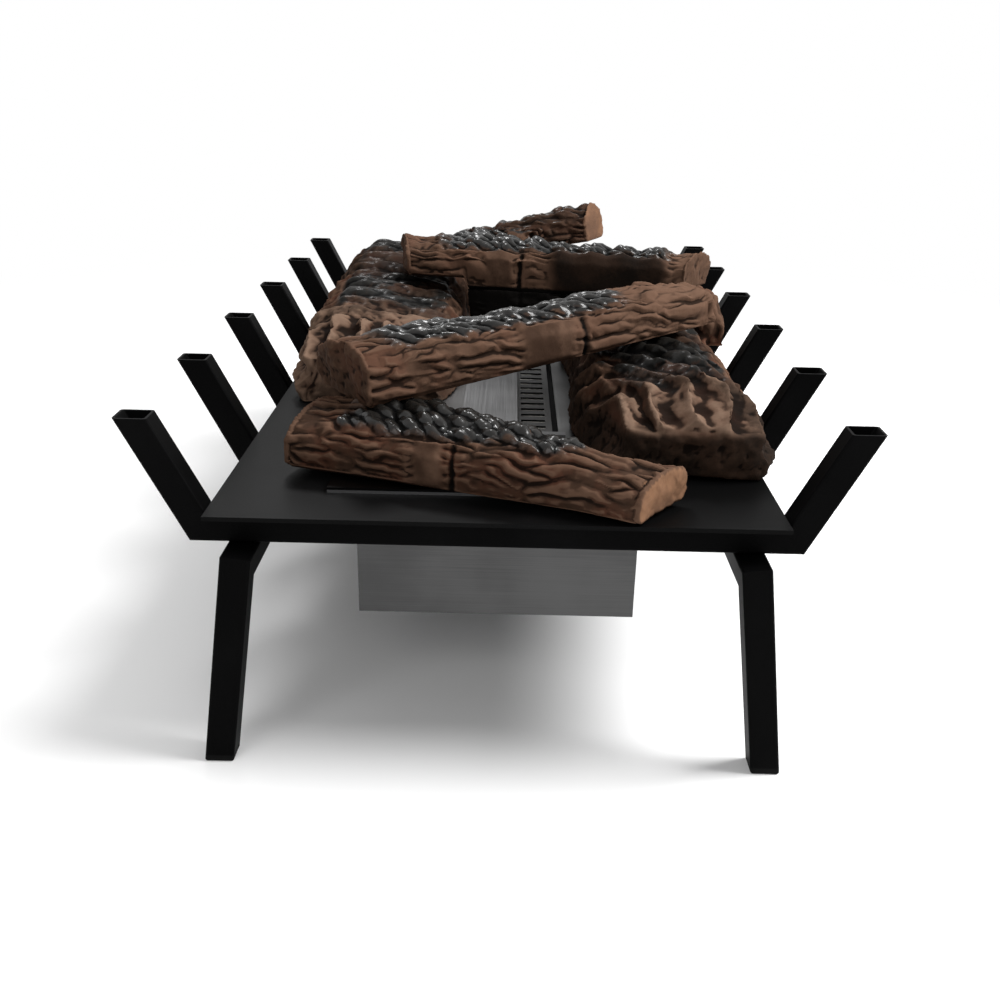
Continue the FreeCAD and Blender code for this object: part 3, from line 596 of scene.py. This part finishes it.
lowest, facing = given["Char Lowest"], given["Char Facing"]
charred = carving.within(along_share + ragged, given["Char From"], given["Char To"], EDGE_SOFT)
on_top = carving.within(across_share + ragged, given["Char Edge"], given["Char Far Edge"], EDGE_SOFT)
charred = charred * on_top
charred = charred * carving.step(above_share + 0.5 * ragged, lowest - EDGE_SOFT, lowest)
charred = charred * carving.step(facing_up, facing - TURNS_BEFORE, facing + TURNS_AFTER)
charred = charred * (1 - sawn) * (1 - limb_front) * (1 - bare)
uncharred = 1 - charred
print("nodes with char", len(carving.tree.nodes))

# %% [markdown]
# ### Bands and marks
# Each cut log has a smooth band across its front, where bark has come off, with a pale line at one
# edge as a painted highlight, and a dark mark beside the other. A wandering noise keeps their edges from
# being ruled lines.

# %% Where bands and marks lie
FACES_FRONT = (0.35, 0.6)
BAND_SOFT = 0.03
BAND_WANDERS = 0.05
BAND_EDGE_HIGHLIGHT = (0.004, 0.02)
MARK_WANDERS = 8 * MM
MARK_TREMBLES = 4 * MM
front_only = carving.step(facing_front, *FACES_FRONT) * uncharred * (1 - limb)
band_place = along_share + BAND_WANDERS * (wander - 0.5)
band = carving.within(band_place, given["Band From"], given["Band To"], BAND_SOFT) * front_only
# A pale line at the band's edge: a painted highlight.
edge_highlight_off = carving.absolute(along_share - given["Band From"])
edge_highlight = (1 - carving.step(edge_highlight_off, *BAND_EDGE_HIGHLIGHT)) * front_only
mark_off = carving.absolute(along - given["Mark At"] * given["Length"] + MARK_WANDERS * (wander - 0.5))
mark_off = mark_off + MARK_TREMBLES * (tremor - 0.5)
mark = (1 - carving.step(mark_off, 0.0, given["Mark Width"])) * front_only
print("nodes with bands and marks", len(carving.tree.nodes))

# %% [markdown]
# ### Plain faces and knuckles
# Ends, undersides and the low faces of the big logs are plain, and so is a part of the rear log's front.
# They are painted umber: on the undersides as painted shade, on the ends and low faces partly as their own
# tone and partly as painted shade, and on the rear log's front as a painted shadow. The bare patches and the
# limb are in part umber too. The stub under the rear log is painted black as painted shade. The big logs have
# broad knuckles at the near end.

# %% Where plain faces and knuckles lie
FACES_END = (0.6, 0.85)
FACES_DOWN = (-0.9, -0.6)
FRONT_PART = (0.34, 0.4)
END_UMBER, PATCH_UMBER, LIMB_UMBER = 0.35, 1.4, 0.65
smooth_below, stub_shade_below, knuckles_to = given["Smooth Below"], given["Stub Shade Below"], given["Knuckles To"]
flat_end = carving.either(carving.step(carving.dot(normal, given["Plain Way"]), *FACES_END),
                          carving.step(carving.dot(normal, given["Other Plain Way"]), *FACES_END))
low_face = 1 - carving.step(above_share + 0.6 * ragged, smooth_below, smooth_below + 2 * EDGE_SOFT)
under = 1 - carving.step(facing_up, *FACES_DOWN)
# A part of the rear log's front, painted as a dark shadow.
painted_shadow_face = carving.within(along_share + 0.3 * ragged, given["Dark From"], given["Dark To"], EDGE_SOFT)
painted_shadow_face = painted_shadow_face * (1 - carving.step(across_share, *FRONT_PART))
# The stub under the rear log, painted black as painted shade.
painted_shade = 1 - carving.step(above_share, stub_shade_below - EDGE_SOFT, stub_shade_below)
smooth = carving.either(painted_shadow_face, low_face, under)
plain = carving.either(smooth, flat_end) * uncharred
# Umber for painted shade and shadow, and for the darker tone of bare patches and the limb.
umber_and_painted_shade = carving.either(smooth, END_UMBER * flat_end, PATCH_UMBER * bare, LIMB_UMBER * limb * (1 - sawn))
umber_and_painted_shade = umber_and_painted_shade * uncharred
near_end = 1 - carving.step(along_share + 0.3 * ragged, knuckles_to, knuckles_to + EDGE_SOFT)
knuckle = near_end * (1 - plain) * uncharred
print("nodes with plain faces", len(carving.tree.nodes))

# %% [markdown]
# ### Moving the surface
# Each point is pushed along its normal: in by its depth below the top, and out by what the log stands
# proud. Faces that look down aren't pushed up or down, because they rest on something. Sideways, knuckles
# sway and a slanting saw cut takes its points back. The underside of the rear log sags between its two
# neighbours, and the stub under it is fuller, so that no light shows there.

# %% How far each point moves
MARK_DEPTH = 2.2 * MM
STUB_FULLER = 9.5 * MM
STUB_WIDER = 2.5 * MM
LIFT_STARTS = (-0.6, -0.2)
SAG_STARTS, SAG_ENDS = (0.187, 0.207), (0.68, 0.78)
SAG_LOW, SAG_HIGH = (-0.3, -0.1), (0.0, 0.5)
KNUCKLE_SWAY = 22 * MM
still = carving.either(plain, sawn, 0.25 * knuckle)
height = bark_height + charred * (char_height - bark_height)
height = height + still * (0.75 + 0.25 * tremor - height)
height = height + band * (0.5 + 0.15 * tremor - height)
depth = given["Bark Depth"] + charred * (given["Char Depth"] - given["Bark Depth"])
depth = depth * (1 - 0.6 * still)
wavy = carving.either(flat_end, low_face, 0.7 * knuckle) + 0.6 * charred
uneven = wavy * (wander - 0.5) + 0.35 * low_face * (tremor - 0.5)
push = depth * (height - 1) + given["Rough"] * uneven
push = push - given["Swell"] * slow * (1 - 0.6 * sawn) - MARK_DEPTH * mark
push = push + given["Proud"] + given["Char Rise"] * charred
push = push + painted_shade * (STUB_FULLER + STUB_WIDER * carving.dot(normal, given["Along"]))
lift = push * carving.step(facing_up, *LIFT_STARTS)
sag = carving.step(along_share, *SAG_STARTS) * (1 - carving.step(along_share, *SAG_ENDS))
sag = given["Sag"] * sag * carving.step(above_share, *SAG_LOW) * (1 - carving.step(above_share, *SAG_HIGH))
aside = KNUCKLE_SWAY * near_end * (slow + 0.5 * wander - 0.75) + cut_off
moved = carving.vector("MULTIPLY", normal, carving.join(push, push, lift))
moved = carving.vector("SUBTRACT", moved, carving.join(0.0, 0.0, sag))
sideways = carving.vector("MULTIPLY", given["Side"], carving.join(aside, aside, aside))
moved = carving.vector("ADD", moved, sideways)
print("nodes with movement", len(carving.tree.nodes))

# %% [markdown]
# ### Leaving marks for the paint
# The tree moves the points and stores every mask as an attribute. Cracks and pits are measured on the moved
# shape: a point that lies below the blurred surface round it is in one, and a negative depth is a ridge.

# %% Move the points and store the masks
CRACK_BLUR, CRACK_SIZE = 8, 0.9 * MM
PIT_BLUR, PIT_SIZE = 60, 2.6 * MM
PAINTED_SHADOW_DARKENS = 0.45
EDGE_HIGHLIGHT_PALE = 0.8


def sunk(rounds, size):
    """How far a point lies below the surface round it, counted in sizes."""
    place = carving.add("GeometryNodeInputPosition")
    blurred = carving.add("GeometryNodeBlurAttribute", {"data_type": "FLOAT_VECTOR"},
                          {"Value": place, "Iterations": rounds})
    inwards = carving.vector("SUBTRACT", blurred, place)
    return carving.dot(inwards, carving.add("GeometryNodeInputNormal")) / size


# The scorch layer: the marks, the stub's painted shade, and more painted shadow on the rear log's front.
scorch_and_painted_shade = carving.either(mark, painted_shade, PAINTED_SHADOW_DARKENS * painted_shadow_face * uncharred)
# Pale paint along the log, and the painted highlight at the band's edge.
pale = carving.either(given["Pale"] * (0.4 + along_share) * (1 - limb), EDGE_HIGHLIGHT_PALE * edge_highlight)
masks = {"char": charred, "sawn": sawn, "shade": umber_and_painted_shade, "band": band, "knuckle": knuckle, "mark": scorch_and_painted_shade,
         "pale": pale, "dull": given["Dull"],
         "crack": sunk(CRACK_BLUR, CRACK_SIZE), "pit": sunk(PIT_BLUR, PIT_SIZE)}
shape = carving.add("GeometryNodeSetPosition", None, {"Geometry": given["Geometry"], "Offset": moved})
for name, value in masks.items():
    shape = carving.add("GeometryNodeStoreNamedAttribute", {"data_type": "FLOAT", "domain": "POINT"},
                        {"Geometry": shape, "Name": name, "Value": value})
shape = carving.add("GeometryNodeSetShadeSmooth", None, {"Geometry": shape})
shape = carving.add("GeometryNodeRealizeInstances", None, {"Geometry": shape})
shape = carving.add("GeometryNodeSetMaterial", None, {"Geometry": shape, "Material": given["Paint"]})
carving.node("NodeGroupOutput", None, {"Geometry": shape})
print("carving nodes", len(carving.tree.nodes), "masks", len(masks))

# %% [markdown]
# ## From solid to log
# The CAD log is a faceted block. It is copied, welded into one skin, remeshed into small even faces and
# smoothed, so that the facets melt together. Then the carving runs, and its result becomes a plain mesh.

# %% Carve one log
WELD = 0.01 * MM
MELT = 0.5


def even_blank(node_name, voxel, rounds):
    """A copy of a CAD log in small even faces, melted by some rounds of smoothing."""
    mesh = frame["nodes"][node_name].data.copy()
    skin = bmesh.new()
    skin.from_mesh(mesh)
    bmesh.ops.remove_doubles(skin, verts=skin.verts, dist=WELD)
    skin.to_mesh(mesh)
    skin.free()
    mesh.materials.clear()
    blank = bpy.data.objects.new("blank_" + node_name, mesh)
    bpy.context.scene.collection.objects.link(blank)
    remesh = blank.modifiers.new("even_faces", "REMESH")
    remesh.mode = "VOXEL"
    remesh.voxel_size = voxel
    melt = blank.modifiers.new("melt_facets", "SMOOTH")
    melt.factor = MELT
    melt.iterations = rounds
    return blank


def carve(node_name, voxel, rounds, sizes):
    """A detailed log that stands for a CAD node."""
    blank = even_blank(node_name, voxel, rounds)
    carver = blank.modifiers.new("carving", "NODES")
    carver.node_group = carving.tree
    sockets = [item for item in carving.tree.interface.items_tree if item.in_out == "INPUT"]
    idents = {socket.name: socket.identifier for socket in sockets}
    for name, value in {**sizes, "Paint": LOG_PAINT}.items():
        carver[idents[name]] = value
    bpy.context.view_layer.update()
    carved = bpy.data.meshes.new_from_object(blank.evaluated_get(bpy.context.evaluated_depsgraph_get()))
    bpy.data.objects.remove(blank)
    log = bpy.data.objects.new("carved_" + node_name, carved)
    bpy.context.scene.collection.objects.link(log)
    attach(log, node_name)
    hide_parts(node_name)
    print(log.name, "faces", len(carved.polygons))


# %% [markdown]
# ## The cut logs
# The three logs on top are sawn lengths. Their bark plates run along the log, each has a smooth band with a
# dark mark beside it, and char covers the top. A plain log has every special thing out of reach or at zero,
# so the logs below only say what they have.

# %% A plain log and a cut one
NOWHERE = (0.0, 0.0, 0.0)
NEVER = 9.0
CUT_VOXEL = 1.3 * MM
plain_log = {
    "Band From": NEVER, "Band To": NEVER, "Mark At": NEVER, "Mark Width": 1 * MM, "Dark From": NEVER,
    "Dark To": NEVER, "Smooth Below": -NEVER, "Stub Shade Below": -NEVER, "Knuckles To": -NEVER,
    "Sawn Way": NOWHERE, "Sawn Behind": -NEVER, "Sawn Beyond": NEVER, "Sawn Across": 0.0, "Sag": 0.0,
    "Limb Above": NEVER, "Limb Behind": NEVER, "Char Far Edge": NEVER, "Char Facing": 0.1,
    "Char Rise": 0.0, "Patches": 0.0, "Rough": 12 * MM, "Pale": 0.0, "Dull": 0.0}
cut_log = {
    **plain_log, "Bark Cell": (46 * MM, 9 * MM, 9 * MM), "Bark Depth": 4 * MM, "Bark Slant": 0.9,
    "Char Cell": (12 * MM, 15 * MM, 14 * MM), "Char Depth": 5 * MM, "Char Slant": 0.7, "Char Rise": 1 * MM,
    "Mark Width": 3.5 * MM, "Swell": 1.6 * MM, "Proud": 2.6 * MM}


def cut_frame(start, turn_deg, rise_deg, length, width, height):
    """A cut log's own measures: along its length, across towards the back, and above its start."""
    turn, rise = math.radians(turn_deg), math.radians(rise_deg)
    way_x, way_y = math.cos(turn), math.sin(turn)
    return {
        "Start": start, "Along": (way_x * math.cos(rise), way_y * math.cos(rise), math.sin(rise)),
        "Side": (-way_y, way_x, 0.0), "Plain Way": (way_x, way_y, 0.0),
        "Other Plain Way": (-way_x, -way_y, 0.0), "Length": length, "Width": width, "Height": height}


print("inputs of a cut log", len(cut_log))

# %% The front log, with a tan sawn end
front_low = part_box("log_front")[0]
front_frame = cut_frame(start=(front_low.x, -0.308, front_low.z), turn_deg=-18.8, rise_deg=0,
                        length=0.262, width=0.09, height=0.04)
carve("log_front", voxel=CUT_VOXEL, rounds=8, sizes={
    **cut_log, **front_frame, "Char From": 0.1, "Char To": 0.8, "Char Edge": 0.14, "Char Lowest": 0.66,
    "Char Depth": 7 * MM, "Char Rise": 3 * MM, "Band From": 0.35, "Band To": 0.46, "Mark At": 0.475,
    "Sawn Way": front_frame["Along"], "Rough": 9 * MM, "Seed": 1.7})

# %% The middle log, which leans on the right one
middle_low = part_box("log_middle")[0]
middle_frame = cut_frame(start=(-0.09, -0.29, middle_low.z), turn_deg=32.2, rise_deg=3.0,
                         length=0.318, width=0.075, height=0.05)
carve("log_middle", voxel=CUT_VOXEL, rounds=10, sizes={
    **cut_log, **middle_frame, "Char From": 0.05, "Char To": 0.76, "Char Edge": 0.1, "Char Lowest": 0.55,
    "Char Facing": 0.45, "Band From": 0.385, "Band To": 0.56, "Mark At": 0.585, "Mark Width": 5 * MM,
    "Pale": 0.75, "Rough": 18 * MM, "Seed": 4.1})

# %% The forked rear log, with painted shadow on its front and painted shade on its stub, and a sawn limb
STEM_DROP = 46 * MM
LIMB_TURN = math.radians(10)
LIMB_WAY = (math.cos(LIMB_TURN), math.sin(LIMB_TURN), 0.15)
back_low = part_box("log_back")[0]
back_frame = cut_frame(start=(-0.097, 0.067, back_low.z + STEM_DROP), turn_deg=-9.7, rise_deg=0,
                       length=0.296, width=0.08, height=0.039)
carve("log_back", voxel=CUT_VOXEL, rounds=8, sizes={
    **cut_log, **back_frame, "Char From": 0.06, "Char To": 0.9, "Char Edge": 0.1, "Char Lowest": 0.7,
    "Char Facing": 0.5, "Band From": 0.25, "Band To": 0.37, "Mark At": 0.38, "Dark From": 0.46,
    "Dark To": 0.88, "Stub Shade Below": -0.12, "Sawn Way": LIMB_WAY, "Sawn Behind": 1.04,
    "Sawn Beyond": 0.1905, "Sawn Across": 0.092, "Limb Above": 0.04, "Limb Behind": 1.0,
    "Sag": 10.5 * MM, "Pale": 1.2, "Proud": 0.9 * MM, "Seed": 7.3})

# %% [markdown]
# ## The base logs
# The two big logs beside the burner lie along the grate, and their ends face the room. Bark hangs over the
# end in broad knuckles, over a smooth dark face, and their tops are cracked char. Knuckles and lumps are
# large enough to be in the CAD solid already, so the carving only adds the finer cracks.

# %% Base logs
BASE_VOXEL = 1.8 * MM
base_log = {
    **plain_log, "Bark Cell": (75 * MM, 25 * MM, 55 * MM), "Bark Depth": 4 * MM, "Bark Slant": 0.0,
    "Char Depth": 4.2 * MM, "Char Slant": 0.0, "Char To": 0.97, "Char Far Edge": 0.82, "Patches": 0.5,
    "Swell": 1.8 * MM, "Proud": 1.5 * MM, "Dull": 0.7}


def base_frame(node_name, side, height):
    """A base log's own measures: along the grate, and across away from the burner, to side 1 or -1."""
    low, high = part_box(node_name)
    return {
        "Start": (low.x if side > 0 else high.x, low.y, low.z), "Along": ALONG_Y, "Side": (side, 0.0, 0.0),
        "Plain Way": (-side, 0.0, 0.0), "Other Plain Way": ALONG_Y,
        "Length": high.y - low.y, "Width": high.x - low.x, "Height": height}


carve("log_right", voxel=BASE_VOXEL, rounds=5, sizes={
    **base_log, **base_frame("log_right", side=1.0, height=0.07), "Char Cell": (18 * MM, 24 * MM, 18 * MM),
    "Char From": 0.09, "Char Edge": 0.04, "Char Lowest": 0.8, "Smooth Below": 0.45, "Knuckles To": 0.1,
    "Seed": 2.2})
carve("log_left", voxel=BASE_VOXEL, rounds=5, sizes={
    **base_log, **base_frame("log_left", side=-1.0, height=0.078), "Char Cell": (12 * MM, 34 * MM, 16 * MM),
    "Char From": 0.22, "Char Edge": 0.06, "Char Lowest": 0.7, "Knuckles To": 0.22, "Seed": 5.6})

# %% [markdown]
# ## Floor and sky
# The photo is a plain studio shot on white. A wide pale floor takes the soft shadow and glows a little, but
# not close round the grate, where the missing glow is a painted shadow; further out it turns plain white.
# Only camera, glossy and transmission rays see that glow and the white sky, so neither adds light to the
# object. To all other rays the sky is a weak fill.

# %% Floor
FLOOR_HALF = 40.0
FLOOR_PALE = 0.8
FLOOR_ROUGH = 0.9
FLOOR_GLOW = 0.22
GLOW_SQUEEZE = (1.5, 0.8, 0.0)
UNDER_SHADOW_EDGE = (0.2, 0.6)
SHADOW_FADES = (0.75, 1.7)


def seen_plainly(graph):
    """1 for a ray from the camera, a reflection or glass, and 0 for a ray that brings light."""
    rays = graph.node("ShaderNodeLightPath")
    camera, glossy, through = (Wire(graph, rays.outputs[name]) for name in
                               ("Is Camera Ray", "Is Glossy Ray", "Is Transmission Ray"))
    return graph.sum("MINIMUM", camera + glossy + through, 1.0)


def floor_white():
    finish = Finish("floor_white")
    seen = seen_plainly(finish)
    beside = finish.length(finish.vector("MULTIPLY", finish.place, GLOW_SQUEEZE))
    # No glow close round the grate: a painted shadow under it.
    glow_beyond_painted_shadow = seen * finish.step(beside, *UNDER_SHADOW_EDGE)
    finish.give({
        "Base Color": grey(FLOOR_PALE),
        "Roughness": FLOOR_ROUGH,
        "Emission Color": finish.colours(glow_beyond_painted_shadow, grey(0.0), grey(FLOOR_GLOW)),
        "Emission Strength": 1.0})
    plain_white = finish.add("ShaderNodeEmission", None, {"Color": grey(1.0), "Strength": 1.0})
    far_off = seen * finish.step(finish.length(finish.place), *SHADOW_FADES)
    lit = Wire(finish, finish.shader.outputs[0])
    surface = finish.add("ShaderNodeMixShader", None, {0: far_off, 1: lit, 2: plain_white})
    finish.feed(finish.tree.nodes["Material Output"].inputs["Surface"], surface)
    return finish.material


def pale_floor():
    mesh = bpy.data.meshes.new("pale_floor")
    corners = [(x * FLOOR_HALF, y * FLOOR_HALF, 0.0) for x, y in ((-1, -1), (1, -1), (1, 1), (-1, 1))]
    mesh.from_pydata(corners, [], [(0, 1, 2, 3)])
    mesh.materials.append(floor_white())
    floor = bpy.data.objects.new("pale_floor", mesh)
    bpy.context.scene.collection.objects.link(floor)
    print("floor", 2 * FLOOR_HALF, "m wide")


pale_floor()

# %% Sky
SKY_FILL = 0.3


def white_sky():
    world = bpy.data.worlds.new("studio_sky")
    bpy.context.scene.world = world
    world.use_nodes = True
    graph = Graph(world.node_tree)
    background = world.node_tree.nodes["Background"]
    graph.feed(background.inputs["Color"], grey(1.0))
    graph.feed(background.inputs["Strength"], SKY_FILL + (1 - SKY_FILL) * seen_plainly(graph))
    print("sky", world.name, "fill", SKY_FILL)


white_sky()

# %% [markdown]
# ## Lamps and camera
# Three soft lamps light the grate. A large key lamp stands high on the right and gives the shadows their
# side, a weak one in front on the left opens the near faces, and a small one high behind puts highlights on
# the char. The camera stands where the photo was taken from, worked out from the frame's straight edges.

# %% Lamps
GRATE_MIDDLE = (0.0, 0.0, 0.2)


def soft_lamp(name, place, size, watts):
    """A round lamp that looks at the middle of the grate."""
    lamp = bpy.data.lights.new(name, "AREA")
    lamp.shape = "DISK"
    lamp.size = size
    lamp.energy = watts
    holder = bpy.data.objects.new(name, lamp)
    holder.location = place
    holder.rotation_euler = (Vector(GRATE_MIDDLE) - Vector(place)).to_track_quat("-Z", "Y").to_euler()
    bpy.context.scene.collection.objects.link(holder)
    print(name, watts, "W")


soft_lamp("key_lamp", place=(1.6, -0.2, 2.0), size=1.3, watts=102.0)
soft_lamp("front_lamp", place=(-0.9, -2.4, 1.6), size=1.6, watts=19.0)
soft_lamp("rim_lamp", place=(-0.45, 1.7, 2.2), size=0.5, watts=21.0)

# %% Camera
CAMERA_PLACE = (0.00467, -1.0375, 0.4585)
CAMERA_PITCH = 0.3831
CAMERA_YAW = -0.0047
CAMERA_ROLL = 0.0215
CAMERA_LENS = 39.6
CAMERA_FILM = 36.0


def photo_camera():
    """A camera that looks along the grate: turned by yaw, then down by pitch, then rolled."""
    level = math.cos(CAMERA_PITCH)
    ahead = Vector((math.sin(CAMERA_YAW) * level, math.cos(CAMERA_YAW) * level, -math.sin(CAMERA_PITCH)))
    right = Vector((math.cos(CAMERA_YAW), -math.sin(CAMERA_YAW), 0.0))
    up = right.cross(ahead)
    rolled_right = math.cos(CAMERA_ROLL) * right + math.sin(CAMERA_ROLL) * up
    rolled_up = math.cos(CAMERA_ROLL) * up - math.sin(CAMERA_ROLL) * right
    lens = bpy.data.cameras.new("photo_camera")
    lens.lens = CAMERA_LENS
    lens.sensor_width = CAMERA_FILM
    camera = bpy.data.objects.new("photo_camera", lens)
    turned = Matrix((rolled_right, rolled_up, -ahead)).transposed()
    camera.matrix_world = Matrix.Translation(CAMERA_PLACE) @ turned.to_4x4()
    bpy.context.scene.collection.objects.link(camera)
    bpy.context.scene.camera = camera
    print("camera at", CAMERA_PLACE)


photo_camera()
bpy.context.scene.view_settings.view_transform = "Standard"
